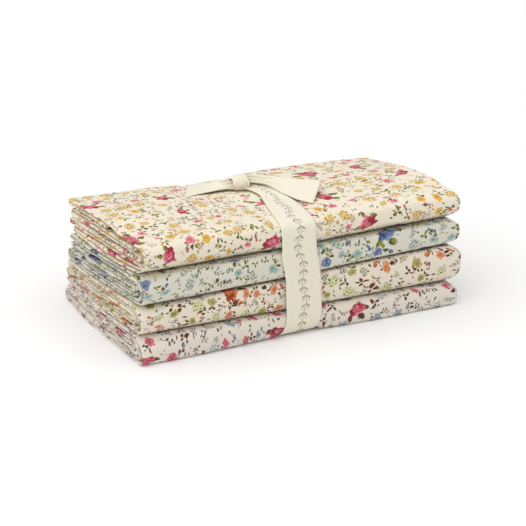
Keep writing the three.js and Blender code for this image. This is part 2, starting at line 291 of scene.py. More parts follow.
def station(column, field):
    curve = np.interp if field == "follows" else monotone
    return curve(column, column_of(STATIONS, "x"), column_of(STATIONS, field))


def seam_height(level, x, y, grooved, pressed, dropped):
    """Height of the surface under the cloth of that level, or of the top."""
    seam = SEAMS[level]
    right = np.clip(x / CUT_WIDTH + 0.5, 0, 1)
    front = lerp(seam["front_left"], seam["front_right"], right)
    back = lerp(seam["back_left"], seam["back_right"], right)
    flat = lerp(front, back, back_share(y))
    if level == 0:
        return flat + BASE_GROOVE * grooved
    if level < len(CLOTHS):
        return flat
    crown = TOP_CROWN * (1 - (y / SEAM_Y) ** 2)
    near_right = np.clip((x - RIGHT_START) / RIGHT_LENGTH, 0, 1) ** 2
    stands = RIGHT_CROWN * smooth(1 - np.abs(y - RIGHT_CROWN_Y) / RIGHT_CROWN_HALF)
    falls = RIGHT_FALL * smooth((y - RIGHT_FALL_Y) / RIGHT_FALL_DEPTH)
    near_back = smooth(y / SEAM_Y)
    at_tape = smooth((BACK_GROOVE_HALF - np.abs(x - BACK_GROOVE_X)) / BACK_GROOVE_EDGE)
    sag = BACK_SAG * near_back * (1 - (x / (CUT_WIDTH / 2)) ** 4)
    pressed_in = TOP_GROOVE * pressed + BACK_GROOVE * (near_back * at_tape)
    return flat + crown - pressed_in - RIGHT_DROP * dropped - sag + (stands - falls) * near_right


def squared_off(cloth, depth, height, column, pressed):
    """Heights in a cloth's section with the corners of its front fold filled out, as where the cloths lie
    on each other. They stay round at the left end, where the runs fan out, and a little so under the tape."""
    filled = smooth((column - LEFT_END) / SQUARE_FADE) * (1 - 0.2 * smooth((pressed - 0.8) / 0.2))
    belly = cloth["belly"]
    for side, half in ((1, "above"), (-1, "below")):
        exponent = cloth["full_" + half]
        inward = 1 - np.clip(depth / cloth[half], 0.03, 1)
        growth = (1 - inward**exponent) ** (1 / exponent) / np.sqrt(1 - inward**2)
        grown = belly + (height - belly) * lerp(1, growth, filled)
        height = np.where((height - belly) * side > 0, grown, height)
    return np.clip(height, SLACK / 2, SECTION - SLACK / 2)


def in_stack(cloth, level, depth, height, column):
    """A point of a cloth's own section, set into the stack at that column of its width."""
    pressed, dropped, swollen = (station(column, field) for field in ("pressed", "dropped", "swollen"))
    grooved = smooth((GROOVE_HALF - np.abs(column + GROOVE_SHIFT)) / GROOVE_EDGE)
    height = squared_off(cloth, depth, height, column, pressed)
    share = (height - SLACK / 2) / (SECTION - SLACK)
    off_middle = 2 * share - 1
    middle = (cloth["front"] + cloth["back"]) / 2
    y = cloth["front"] + depth
    y = y - FACE_PRESS * pressed * np.clip((y - middle) / SEAM_Y, -1, 1)
    if level == 0:
        drawn = UNDERCUT * grooved + UNDERCUT_WIDE * smooth(1 - np.abs(column - UNDERCUT_X) / UNDERCUT_HALF)
        y = y + drawn * np.clip(1 - share / 0.5, 0, 1) ** 2 * smooth(1 - depth / UNDERCUT_DEPTH)
    tuck = np.where(share < 0.5, cloth["tucked"], TUCK_ABOVE) * (1 - pressed) * smooth(1 - depth / TUCK_DEPTH)
    y = y + tuck * off_middle**2
    rounded = np.where(share > 0.5, cloth["shoulder"], cloth["heel"]) * off_middle**4
    bow = LEFT_BOW * (1 - (y / SEAM_Y) ** 2) - cloth["drawn_in"]
    moved = swollen * np.where(swollen > 0, cloth["swell"] - rounded, bow)
    x = column + station(column, "follows") * tape_centre(y) + moved
    drooping = CLOTH_CLEARANCE + DROOP * smooth(1 - depth / DROOP_DEPTH)
    place = (x, y, grooved, pressed, dropped)
    low = seam_height(level, *place) + (CLOTH_CLEARANCE if level > 0 else 0)
    high = seam_height(level + 1, *place) - (drooping if level + 1 < len(CLOTHS) else 0)
    return np.stack([x, y, lerp(low, high, share)], -1)


# ---- Sheets of cloth ----

# The spacing of a sheet's columns from each place on
COLUMNS = table("x step", (LEFT_END, 1.8), (-120, 3.6), (-48, 2), (44, 4), (104, 1.7), (RIGHT_END, 0))
CLOSEST_COLUMN = 0.4
END_TURN_STEPS = 6  # steps round each rolled end of a run
LAYER_NOISE = 0.72  # how far the surface between two runs wanders at the left end
LAYER_NOISE_RIGHT = 0.7  # as a share of that
LAYER_NOISE_INSIDE = 0.15
LAYER_WAVES = table("deep wide share", (26, 70, 0.7), (9, 40, 0.5))
RAGGED = 0.9  # how far a run's end wanders in and out
RAGGED_LONG, RAGGED_SHORT = 37, 11
END_FADE = 60  # the layers even out over this distance from the left end
FULL, THINNED = 1.12, 0.86  # thickness of a run in the middle, and how much of it is lost at the left end
THIN_LONG, THIN_WIDE = 23, 60
FLAP_SAG = 2.3  # how far the top cloth's last run comes down at its left end
FLAP_FRONT, FLAP_FADE, FLAP_END = 4, 14, 16

# Slits that gape at the left end, above a level, between two distances from the front face
SLITS = table(
    "node above start end gap",
    ("cloth_top", 4, 30, 100, 0.9),
    ("cloth_second", 6, 14, 92, 2.5),
    ("cloth_second", 3, 60, 110, 1.0),
    ("cloth_third", 5, 22, 90, 1.3),
    ("cloth_third", 2, 30, 120, 0.7),
    ("cloth_bottom", 6, 26, 76, 0.9),
    ("cloth_bottom", 3, 30, 100, 0.8),
)


def run_section():
    """The closed section of a run across the sheet's width: columns, shares of the half thickness, where
    each face starts and ends on the unrolled cloth, and how far each point shows the printed side."""
    half = SHEET / 2
    low, high = LEFT_END + half, RIGHT_END - half
    inner = np.concatenate([
        np.linspace(a["x"], b["x"], round((b["x"] - a["x"]) / a["step"]), endpoint=False)
        for a, b in zip(COLUMNS, COLUMNS[1:])
    ])
    inside = (inner > low + CLOSEST_COLUMN) & (inner < high - CLOSEST_COLUMN)
    inner = np.concatenate([[low], inner[inside], [high]])
    turns = np.linspace(0, math.pi, END_TURN_STEPS + 1)[1:-1]
    column = np.concatenate([inner, high + half * np.sin(turns), inner[::-1], low - half * np.sin(turns)])
    share = np.concatenate([inner * 0 + 1, np.cos(turns), inner * 0 - 1, -np.cos(turns)])
    back_of = high + math.pi * half + (high - inner[::-1])
    starts = np.concatenate([inner, high + half * turns, back_of, low - half * (math.pi - turns)])
    starts[2 * len(inner) + len(turns) - 1] = low - half * math.pi
    ends = np.append(starts[1:], low)
    ends[2 * len(inner) + len(turns) - 2] = back_of[-1]
    printed = np.concatenate([inner * 0 + 1, turns * 0 + 1, inner * 0, turns * 0 + 1])
    return column, share, starts - LEFT_END, ends - LEFT_END, printed


def near_ends(column):
    """How near a column is to the left end and to the right end, from 0 to 1."""
    return smooth(1 - (column - LEFT_END) / END_FADE), smooth(1 - (RIGHT_END - column) / END_FADE)


def layered(cloth, height, depth, column, seed):
    """Heights in a cloth's section with the surfaces between its runs wandering, and its slits open."""
    near_left, near_right = near_ends(column)
    loose = np.maximum(near_left, LAYER_NOISE_RIGHT * near_right)
    size = lerp(LAYER_NOISE_INSIDE, LAYER_NOISE, loose)
    k = np.clip(np.floor(height / PITCH).astype(int), 0, RUNS - 1)
    top, base = np.zeros((2, RUNS + 1, *height.shape))
    for level in range(1, RUNS):
        waves = [
            wave["share"] * noise(depth / wave["deep"], column / wave["wide"] + 7 * level, seed + n)
            for n, wave in enumerate(LAYER_WAVES)
        ]
        top[level] = base[level] = size * sum(waves)
    for slit in SLITS:
        if slit["node"] == cloth["node"]:
            share = (depth - slit["start"]) / (slit["end"] - slit["start"])
            gape = slit["gap"] * near_left * np.sin(math.pi * np.clip(share, 0, 1)) ** 0.7
            top[slit["above"]] += gape / 2
            base[slit["above"]] -= gape / 2
    if cloth["node"] == "cloth_top":
        # The last run comes down where the first one, under it, has its free end
        sunk = FLAP_SAG * near_left * smooth((depth - FLAP_FRONT) / FLAP_FADE)
        sunk = sunk * smooth((cloth["free_start"] - depth) / FLAP_END)
        top[RUNS - 1] -= sunk
        base[RUNS] -= sunk
    low = np.take_along_axis(top, k[None], 0)[0]
    high = np.take_along_axis(base, k[None] + 1, 0)[0]
    return height + lerp(low, high, height / PITCH - k)


def ring_mesh(name, points, starts, ends, along, printed=None, capped=False):
    """A mesh of rings, points[i, m]. starts and ends place each face of a ring across the unrolled cloth,
    and along places each ring. A capped mesh has its open ends closed, between the ring's two halves."""
    rows, ring = points.shape[:2]
    i, m = np.meshgrid(np.arange(rows - 1), np.arange(ring), indexing="ij")
    n = (m + 1) % ring
    faces = np.stack([i * ring + m, (i + 1) * ring + m, (i + 1) * ring + n, i * ring + n], -1).reshape(-1, 4)
    corners = [starts[m], along[i], starts[m], along[i + 1], ends[m], along[i + 1], ends[m], along[i]]
    uvs = np.stack(corners, -1).reshape(-1, 8)
    if capped:
        j = np.arange(ring // 2 - 1)
        cap = np.stack([j, j + 1, ring - 2 - j, ring - 1 - j], -1)
        for row, order in ((0, 1), (rows - 1, -1)):
            place = np.stack([starts[j], j * 0 + along[row]] * 4, -1)
            faces = np.concatenate([faces, (cap + row * ring)[:, ::order]])
            uvs = np.concatenate([uvs, place])
    mesh = bpy.data.meshes.new(name)
    mesh.from_pydata((points.reshape(-1, 3) * MM).tolist(), [], faces.tolist())
    mesh.uv_layers.new(name="UVMap").uv.foreach_set("vector", (uvs * MM).astype(np.float32).ravel())
    if printed is not None:
        attribute = mesh.attributes.new("printed", "FLOAT", "POINT")
        attribute.data.foreach_set("value", np.broadcast_to(printed, (rows, ring)).astype(np.float32).ravel())
    built = bmesh.new()
    built.from_mesh(mesh)
    bmesh.ops.remove_doubles(built, verts=built.verts, dist=1e-7)
    built.to_mesh(mesh)
    built.free()
    mesh.shade_smooth()
    return mesh


def cloth_piece(cloth, level):
    line = folded_line(cloth)
    out = right_normals(line)
    face = line + out * SHEET / 2
    along = lengths_along(in_stack(cloth, level, *face.T, np.full(len(line), PLAIN_COLUMN)))
    column, share, starts, ends, printed = run_section()
    seed = 10 * (level + 1)
    s, c = np.meshgrid(along, column, indexing="ij")

    # The strip's own free ends are rolled too: there the sheet thins to nothing
    rolled = round_edge(np.minimum(along, along[-1] - along), SHEET / 2)[:, None]
    near_left, near_right = near_ends(c)
    thin = THINNED * near_left**1.4 * (0.5 + 0.5 * noise(s / THIN_LONG, c / THIN_WIDE, seed + 5))
    side = rolled * share[None] * SHEET / 2 * (FULL - thin)
    depth = line[:, 0, None] + side * out[:, 0, None]
    height = np.clip(line[:, 1, None] + side * out[:, 1, None], SLACK / 2, SECTION - SLACK / 2)
    height = layered(cloth, height, depth, c, seed + 4)
    points = in_stack(cloth, level, depth, height, c)
    ragged = noise(s / RAGGED_LONG, s * 0, seed + 2) + 0.5 * noise(s / RAGGED_SHORT, s * 0, seed + 3)
    points[..., 0] += RAGGED * ragged * (near_left**3 - near_right**3)
    points[..., 2] = np.maximum(points[..., 2], 0)
    mesh = ring_mesh(cloth["node"], points, starts, ends, along, printed)
    return linked(cloth["node"] + "_sheet", mesh)


def linked(name, mesh):
    piece = bpy.data.objects.new(name, mesh)
    bpy.context.scene.collection.objects.link(piece)
    return piece


# ---- The tape ----

TAPE_WIDTH = 28
TAPE_THICKNESS = 0.9
HALF_TAPE = TAPE_THICKNESS / 2
TAPE_CLEARANCE = 0.4
ACROSS = np.linspace(0, 1, 25)  # points across the tape
TAUT_STEP = 1.5
LEAN, LEAN_HEIGHT, LEAN_DEPTH = 3.5, 16, 80  # the tape leans to the left where it turns under the stack
FRONT_LEAN, FRONT_LEAN_START, FRONT_LEAN_HEIGHT = 3.2, 40, 28  # and where it comes over the front edge
UNPRINTED = 80  # a step across the UV map, clear of the vine
UNDERSIDE, RIM = 40, 0.4  # the step to its other side there, and the rim's width

# The tape's two edges where it narrows over the top towards the knot, how far it is gathered, and how far
# its right edge is drawn up
TAPE_TOP = table(
    "y left right gathered raised",
    (-75, -20.6, 6.8, 0, 0),
    (-55, -18.7, 7.8, 0, 0),
    (-39, -15.2, 9.4, 0.1, 0),
    (-19, -9.8, 10.2, 0.3, 0.2),
    (-5, -6.4, 9.5, 0.5, 1.2),
    (7, -6.8, 8.5, 0.7, 2.6),
    (18, -12, -1, 0.9, 3.4),
    (31, -16.5, -4, 0.8, 0.8),
    (51, -30, -4, 0.2, 0),
    (75, -32.5, -4.5, 0, 0),
)
KNOT = (-10.8, 18.2, 88.8)  # its middle
KNOT_LENGTH, KNOT_DEPTH, KNOT_HEIGHT = 11.4, 15, 10.2
KNOT_TURN = -0.08
KNOT_CREASES = table("at deep", (0.74, 0.09), (0.3, 0.04), (-0.25, 0.03), (-0.62, 0.09))
KNOT_POINTS = 57

# The tails, from inside the knot to the cut end, by their left and right edges
TAIL_LEFT = table(
    "left right gathered",
    ((-7.5, 15.5, 88), (-7.5, 24, 91), 1),
    ((-13.6, 15.8, 86), (-14.4, 26.5, 89.2), 0.8),
    ((-21.9, 19.9, 85.1), (-20.8, 35.3, 85.2), 0.35),
    ((-36.9, 18.4, 85), (-30, 42.5, 82.9), 0.05),
    ((-54.6, 16.8, 85.1), (-38.9, 46.7, 82.4), 0),
)
TAIL_RIGHT = table(
    "left right gathered",
    ((-6.5, 24.5, 91.2), (-7.4, 17, 88), 1),
    ((5, 14, 93.2), (4.4, 3.4, 88.8), 0.45),
    ((20, -1.8, 93.6), (8.1, -15.9, 87.7), 0.1),
    ((29.4, -10.6, 93.6), (11.7, -30.9, 87.1), 0),
    ((38.4, -18.2, 93.1), (18.4, -42.8, 86.9), 0),
)
TAIL_ROWS = 40


def convex_hull(points):
    """The convex hull of plane points, anticlockwise."""
    def half(ordered):
        kept = []
        for p in ordered:
            while len(kept) > 1:
                a, b = kept[-2], kept[-1]
                if (b[0] - a[0]) * (p[1] - a[1]) > (b[1] - a[1]) * (p[0] - a[0]):
                    break
                kept.pop()
            kept.append(p)
        return kept[:-1]

    ordered = sorted(map(tuple, points))
    return np.array(half(ordered) + half(ordered[::-1]))


def resampled(line, step):
    """A line's points again, evenly spaced."""
    along = lengths_along(line)
    even = np.linspace(0, along[-1], round(along[-1] / step) + 1)
    return np.stack([np.interp(even, along, line[:, k]) for k in range(line.shape[1])], 1)


def softened(line, rounds):
    for _ in range(rounds):
        line = np.concatenate([line[:1], (line[:-2] + 2 * line[1:-1] + line[2:]) / 4, line[-1:]])
    return line


def taut_line():
    """The tape's line (y, z) from the knot to the front, underneath and up the back to the knot again."""
    corners = []
    for level, cloth in enumerate(CLOTHS):
        line = folded_line(cloth)
        for side in (-SHEET / 2, SHEET / 2):
            at = line + side * right_normals(line)
            corners.append(in_stack(cloth, level, *at.T, np.zeros(len(at)))[:, 1:])
    hull = convex_hull(np.concatenate(corners))
    behind = hull[:, 0] > KNOT[1]
    cut = np.flatnonzero((hull[:, 1] > TOP_CLOTH_Z) & behind & ~np.roll(behind, -1))[0]
    ring = np.roll(hull, -(cut + 1), axis=0)
    # The ring runs anticlockwise, so it starts in front of the knot and ends behind it
    first, last = ring[0], ring[-1]
    at_knot = lerp(last, first, (KNOT[1] - last[0]) / (first[0] - last[0]))
    line = softened(resampled(np.concatenate([[at_knot], ring, [at_knot]]), TAUT_STEP), 2)
    return line + (TAPE_CLEARANCE + HALF_TAPE) * right_normals(line)


def grid_normals(surface):
    normal = np.cross(np.gradient(surface, axis=0), np.gradient(surface, axis=1))
    return normal / np.maximum(np.linalg.norm(normal, axis=2), 1e-9)[..., None]


def both_faces(surface, half):
    """Rings round a surface, over it and back under it."""
    offset = grid_normals(surface) * half
    return np.concatenate([surface + offset, (surface - offset)[:, ::-1]], 1)


def ribbon(name, left, right, lifts, along, bare=False):
    """A closed mesh of tape between two edge lines. lifts[i, j] raises it off the plane of its edges."""
    surface = lerp(left[:, None], right[:, None], ACROSS[None, :, None])
    surface = surface + grid_normals(surface) * lifts[..., None]
    half = HALF_TAPE * (0.35 + 0.65 * round_edge(np.minimum(ACROSS, 1 - ACROSS) * TAPE_WIDTH, HALF_TAPE))
    from_end = round_edge(np.minimum(along - along[0], along[-1] - along), HALF_TAPE)
    half = half[None] * (0.4 + 0.6 * from_end)[:, None]
    place = ACROSS * TAPE_WIDTH + (UNPRINTED if bare else 0)
    under = place[::-1] + UNDERSIDE
    starts = np.concatenate([place, under])
    ends = np.concatenate([place[1:], place[-1:] + RIM, under[1:], under[-1:] - RIM])
    return ring_mesh(name, both_faces(surface, half[..., None]), starts, ends, along, capped=True)


def band_mesh():
    line = taut_line()
    y, z = line.T
    on_top = z > TOP_CLOTH_Z

    def along_top(field, elsewhere, curve=monotone):
        return np.where(on_top, curve(y, column_of(TAPE_TOP, "y"), column_of(TAPE_TOP, field)), elsewhere)

    left = along_top("left", tape_centre(y) - TAPE_WIDTH / 2)
    right = along_top("right", tape_centre(y) + TAPE_WIDTH / 2)
    gathered = along_top("gathered", 0, np.interp)
    raised = along_top("raised", 0)
    leaning = -LEAN * smooth(1 - z / LEAN_HEIGHT) * smooth(1 - (y + SEAM_Y) / LEAN_DEPTH)
    over_front = FRONT_LEAN * smooth((z - FRONT_LEAN_START) / FRONT_LEAN_HEIGHT)
    leaning = leaning - np.where(on_top | (y > 0), 0, over_front)
    along = lengths_along(line)
    pleats = 0.5 + 0.5 * np.sin(math.tau * 2.3 * ACROSS[None] + 0.02 * along[:, None])
    slack = 0.25 * (1 + noise(along[:, None] / 17, ACROSS[None] * 2.2, 91))
    lifts = gathered[:, None] * 1.3 * pleats + slack
    edges = np.stack([left + leaning, y, z], 1), np.stack([right + leaning, y, z + raised], 1)
    return ribbon("band", *edges, lifts, along)


def tail_mesh(name, rows, seed, bare):
    t = np.linspace(0, len(rows) - 1, TAIL_ROWS)
    knots = np.arange(len(rows))
    left, right = (
        np.stack([monotone(t, knots, places) for places in zip(*column_of(rows, edge))], 1)
        for edge in ("left", "right")
    )
    gathered = np.interp(t, knots, column_of(rows, "gathered"))
    along = lengths_along((left + right) / 2)
    pleats = np.sin(math.tau * 2.5 * ACROSS[None] + seed)
    slack = 0.6 * noise(along[:, None] / 15, ACROSS[None] * 2.2, seed) * smooth(along / 12)[:, None]
    lifts = 3 * gathered[:, None] ** 1.5 * pleats + slack
    return ribbon(name, left, right, lifts, along, bare)


def knot_mesh():
    """One turn of tape drawn round the tails, about an axis along X."""
    turns = np.linspace(0, math.tau, KNOT_POINTS)
    across = np.linspace(-1, 1, len(ACROSS))
    a, w = np.meshgrid(turns, across, indexing="ij")
    size = 1 + 0.07 * w - 0.1 * np.abs(w) ** 3 + 0.03 * noise(a * 1.3, w * 1.6, 61)
    size = size - 0.16 * smooth((-w - 0.5) / 0.5)
    for crease in KNOT_CREASES:
        size = size - crease["deep"] * np.exp(-(((w - crease["at"] - 0.06 * np.sin(2 * a)) / 0.09) ** 2))
    x = w * KNOT_LENGTH / 2 * (1 + 0.04 * np.sin(3 * a))
    y = np.sin(a) * size * KNOT_DEPTH / 2
    z = -np.cos(a) * size * KNOT_HEIGHT / 2
    c, s = math.cos(KNOT_TURN), math.sin(KNOT_TURN)
    surface = np.stack([x * c - y * s, x * s + y * c, z], -1) + KNOT
    along = turns * (KNOT_DEPTH + KNOT_HEIGHT) / 4
    place = (across + 1) * TAPE_WIDTH / 2 + UNPRINTED
    starts = np.concatenate([place, place[::-1] + UNDERSIDE])
    ends = np.append(starts[1:], place[0] + UNDERSIDE)
    return ring_mesh("knot", both_faces(surface, HALF_TAPE), starts, ends, along)


def tape_piece():
    meshes = [
        band_mesh(),
        knot_mesh(),
        tail_mesh("tail_left", TAIL_LEFT, 71, bare=False),
        tail_mesh("tail_right", TAIL_RIGHT, 72, bare=True),
    ]
    parts = [linked(mesh.name, mesh) for mesh in meshes]
    with bpy.context.temp_override(active_object=parts[0], selected_editable_objects=parts):
        bpy.ops.object.join()
    parts[0].name = "tape_tied"
    return parts[0]


# ---- Shader nodes ----

MIX_UNDER, MIX_OVER, MIX_RESULT = 6, 7, 2  # the colour sockets of a Mix node


class Wire:
    """A value in a node tree. Its operators and methods add nodes to the tree."""

    def __init__(self, tree, socket):
        self.tree, self.socket = tree, socket

    def node(self, kind, inputs=(), output=0, **settings):
        node = self.tree.nodes.new("ShaderNode" + kind)
        for name, value in settings.items():
            setattr(node, name, value)
        for key, value in inputs.items() if isinstance(inputs, dict) else enumerate(inputs):
            if isinstance(value, Wire):
                self.tree.links.new(value.socket, node.inputs[key])
            else:
                node.inputs[key].default_value = value
        return Wire(self.tree, node.outputs[output])

    def math(self, operation, *values):
        return self.node("Math", (self, *values), operation=operation)

    __add__ = __radd__ = partialmethod(math, "ADD")
    __mul__ = __rmul__ = partialmethod(math, "MULTIPLY")
    __sub__ = partialmethod(math, "SUBTRACT")
    __truediv__ = partialmethod(math, "DIVIDE")
    __abs__ = partialmethod(math, "ABSOLUTE")
    sine = partialmethod(math, "SINE")
    fraction = partialmethod(math, "FRACT")
    over = partialmethod(math, "GREATER_THAN")

    def __rsub__(self, other):
        return self * -1 + other

    def squared(self):
        return self * self

    def ramp(self, low, high):
        """0 at low and 1 at high, with soft ends. low may be the larger."""
        return self.node("MapRange", (self, low, high), interpolation_type="SMOOTHSTEP")

    def moved(self, vector):
        return self.node("VectorMath", (self, vector), "Vector", operation="ADD")

    def minus(self, vector):
        return self.node("VectorMath", (self, vector), "Vector", operation="SUBTRACT")

    def scaled(self, factor):
        return self.node("VectorMath", {0: self, "Scale": factor}, "Vector", operation="SCALE")

    def turned(self, angle):
        return self.node("VectorRotate", {"Vector": self, "Angle": angle}, rotation_type="Z_AXIS")

    def split(self, kind="XYZ"):
        node = self.node("Separate" + kind, (self,)).socket.node
        return [Wire(self.tree, output) for output in node.outputs]

    def clouds(self, scale, detail, output=0):
        """Soft noise over the plane."""
        inputs = {"Vector": self, "Scale": scale, "Detail": detail}
        return self.node("TexNoise", inputs, output, noise_dimensions="2D")

    def cells(self, scale, uneven, output, **settings):
        """Voronoi cells over the plane."""
        inputs = {"Vector": self, "Scale": scale, "Randomness": uneven}
        return self.node("TexVoronoi", inputs, output, voronoi_dimensions="2D", **settings)

    def painted(self, color, mask):
        """This colour with another painted over it by a mask."""
        inputs = {"Factor": mask, MIX_UNDER: self, MIX_OVER: color}
        return self.node("Mix", inputs, MIX_RESULT, data_type="RGBA")


def most(*masks):
    result = masks[0]
    for mask in masks[1:]:
        result = result.math("MAXIMUM", mask)
    return result


# ---- Printed motifs, in millimetres about their own centre ----

SOFT = 0.12  # half the width of a printed edge


def plane(x, y):
    return x.node("CombineXYZ", (x, y))


def polar(x, y):
    radius = (x.squared() + y.squared()).math("SQRT")
    return radius, y.math("ARCTAN2", x)


def spokes(radius, angle, count, turn=0.0):
    """Places along and across the nearest of several evenly spaced spokes."""
    sector = math.tau / count
    off = ((angle + turn) / sector).fraction() * sector - sector / 2
    return radius * off.math("COSINE"), radius * off.sine()


def leaf(x, y, start, length, width):
    """A pointed leaf that grows along x from start."""
    share = (x - (start + length / 2)) * (2 / length)
    return (abs(y) - (1 - share.squared()) * (width / 2)).ramp(SOFT, -SOFT)


def leaf_from(x, y, base, towards, start, length, width):
    """A leaf that grows from a base point towards a direction."""
    (at_x, at_y), (c, s) = base, towards
    x, y = x - at_x, y - at_y
    return leaf(x * c + y * s, y * c - x * s, start, length, width)


def oval(x, y, at_x, at_y, wide, high):
    far = ((x - at_x) * (2 / wide)).squared() + ((y - at_y) * (2 / high)).squared()
    return far.ramp(1.2, 0.8)


def stroke(x, y, bend, low, high, width):
    """A thin curved stem along y."""
    near = abs(x - y.squared() * bend).ramp(width / 2 + SOFT, width / 2 - SOFT / 2)
    return near * y.ramp(low - SOFT, low + SOFT) * y.ramp(high + SOFT, high - SOFT)


def dotted(x, y, pitch, size):
    """Round dots, a little unevenly spaced."""
    off = plane(x, y).cells(1 / pitch, 0.3, "Distance") * pitch
    return off.ramp(size + SOFT / 2, size - SOFT / 2)


def rose(x, y, colors, under):
    """A full flower with many overlapping petals, seen from a little to one side, among pointed leaves."""
    along, across = spokes(*polar(x, y), 5, 0.6)
    toothed = across * (1 + (along * 4).sine() * 0.22)
    bare_side = (x * 0.7 - y).ramp(2.5, 4)
    leaves = leaf(along, toothed, 4.2, 6.2, 3.9) * (1 - bare_side)
    color = under.painted(colors["leaf"], leaves)
    color = color.painted(colors["leaf_dark"], leaves * across.ramp(0.0, 0.25))
    radius, angle = polar(x * 1.12, y * 0.92)
    rim = 4.9 + abs((angle * 3.5 + 1).sine()) * 1.2 + (angle * 2).sine() * 0.8
    swirl = plane(x, y).turned(radius * 0.22)
    petal = swirl.cells(0.42, 0.9, "Color").split("Color")[0]
    edge = swirl.cells(0.42, 0.9, "Distance", feature="DISTANCE_TO_EDGE")
    light = y * 0.085 - x * 0.06 + petal * 0.7 + 0.13
    petals = colors["rose_dark"]
    for paint, low, high in (("rose_mid", 0.16, 0.24), ("rose_light", 0.5, 0.6), ("rose_pale", 0.82, 0.9)):
        petals = petals.painted(colors[paint], light.ramp(low, high))
    petals = petals.painted(colors["rose_dark"], edge.ramp(0.1, 0.03) * (1 - light).ramp(0.1, 0.4) * 0.8)
    specks = dotted(x, y, 1.0, 0.24) * polar(x - 0.9, y + 0.8)[0].ramp(2.6, 1.9)
    petals = petals.painted(colors["ground"], specks * 0.8)
    return color.painted(petals, (radius - rim).ramp(SOFT, -SOFT))


def open_flower(x, y, colors, under):
    """Round petals about a small eye, tilted, with a stalk and two leaves behind them."""
    color = under.painted(colors["stem"], stroke(x, y, 0.06, -4.4, -1, 0.3))
    leaves = most(
        leaf_from(x, y, (0, -2.6), (0.7, -0.7), 0.2, 3.4, 1.7),
        leaf_from(x, y, (0, -3.2), (-0.8, -0.4), 0.2, 3, 1.5),
    )
    color = color.painted(colors["leaf"].painted(colors["leaf_dark"], x.ramp(-0.4, 0.4)), leaves)
    radius, angle = polar(x, y * 1.25)
    lobes = abs((angle * 2.5).sine())
    rim = 2.5 + lobes * 1.1 + (angle + 1).sine() * 0.35
    petals = colors["light"].painted(colors["dark"], radius.ramp(1.7, 0.7))
    petals = petals.painted(colors["dark"], lobes.ramp(0.32, 0.1) * radius.ramp(0.5, 1.2) * 0.7)
    streak = (angle * 5 + radius).sine().ramp(0.75, 0.95) * radius.ramp(3.0, 1.8)
    petals = petals.painted(colors["dark"], streak * 0.6)
    petals = petals.painted(colors["ground"], plane(x, y).clouds(0.8, 3.0).ramp(0.45, 0.75) * 0.5)
    return color.painted(petals, (radius - rim).ramp(SOFT, -SOFT))


def umbel(x, y, colors, under):
    """A round head of dots on branching stalks."""
    along, across = spokes(*polar(x, y + 3.6), 12)
    upward = (y + 3.4).ramp(-0.2, 0.4)
    stalks = abs(across).ramp(0.2, 0.06) * along.ramp(4.4, 3.6) * upward
    color = under.painted(colors["stem"], most(stalks * 0.6, stroke(x, y, 0.04, -5.4, -3.4, 0.3)))
    radius, angle = polar(x, y - 0.4)
    head = (radius - 3.6 - (angle * 4).sine() * 0.3).ramp(0.2, -0.2)
    color = color.painted(colors["dots_ground"], head * 0.75)
    return color.painted(colors["dots"], dotted(x, y, 1.95, 0.52) * head)


def bud(x, y, colors, under):
    """A closed bud on a bent stem with two leaves."""
    color = under.painted(colors["stem"], stroke(x, y, 0.07, -3.8, 0, 0.26))
    leaves = most(
        leaf_from(x, y, (0.3, -3), (0.8, 0.6), 0, 2.9, 1.4),
        leaf_from(x, y, (0, -2), (-0.7, 0.7), 0, 2.7, 1.3),
        oval(x, y, 0, 0.1, 1.9, 1.3),
    )
    color = color.painted(colors["leaf_dark"].painted(colors["leaf"], x.ramp(-0.3, 0.5)), leaves)
    petals = colors["light"].painted(colors["dark"], (x + (y - 1.5) * 0.4).ramp(-0.2, 0.8))
    return color.painted(petals, oval(x, y, 0, 1.6, 2.8, 3.3))


def sprig(x, y, colors, under):
    """A curved twig with paired seeds."""
    color = under.painted(colors["stem"], stroke(x, y, 0.06, -4.2, 4.2, 0.22) * 0.8)
    aside = abs(x - y.squared() * 0.06) - 1.15
    lean = ((y / 2.1).fraction() - 0.5) * 2.1 - aside * 0.7
    seeds = (aside.squared() + (lean * 1.5).squared()).ramp(1.1, 0.7) * y.ramp(-2.8, -2.4)
    return color.painted(colors["sprig"], seeds * abs(y).ramp(4.3, 4.1))


def leafy_twig(x, y, colors, under):
    """A curved twig with pointed leaves at either side in turn."""
    curved = x - y.squared() * 0.07
    color = under.painted(colors["stem"], stroke(x, y, 0.07, -4.2, 2.6, 0.26))
    side = curved.over(0)
    step = ((y + side * 1.3) / 2.6).fraction() * 2.6 - 1.3
    leaves = leaf_from(abs(curved), step, (0, 0), (0.75, 0.66), 0.2, 2.8, 1.35)
    leaves = leaves * y.ramp(-2.9, -2.5) * y.ramp(4.4, 4.0)
    return color.painted(colors["leaf"].painted(colors["leaf_dark"], side), leaves)


def trefoil(x, y, colors, under):
    """Three leaves from one point."""
    along, across = spokes(*polar(x, y), 3)
    leaves = leaf(along, across, 0.2, 3.9, 2.3)
    color = under.painted(colors["leaf"], leaves)
    return color.painted(colors["leaf_dark"], leaves * across.ramp(-0.1, 0.15))


def spray(x, y, colors, under):
    """A thin forked twig with ticks along it."""
    fork = abs(abs(x) - (y + 2.5).math("MAXIMUM", 0) * 0.42)
    lines = fork.ramp(0.2, 0.06) * y.ramp(-2.7, -2.3) * y.ramp(3.1, 2.7)
    lines = most(lines, stroke(x, y, 0.05, -3.6, -2.4, 0.26))
    color = under.painted(colors["stem"], lines * 0.85)
    place = ((y / 1.7).fraction() - 0.5) * 1.7
    ticks = ((fork - 0.7).squared() * 2 + (place - fork * 0.4).squared() * 6).ramp(1.1, 0.7)
    return color.painted(colors["leaf_dark"], ticks * abs(y).ramp(3.2, 3.0))


def tick(paint):
    """A motif: a short bent stroke of one paint."""
    def motif(x, y, colors, under):
        return under.painted(colors[paint], leaf(x, y - x.squared() * 0.12, -1.4, 2.8, 1.2))

    return motif


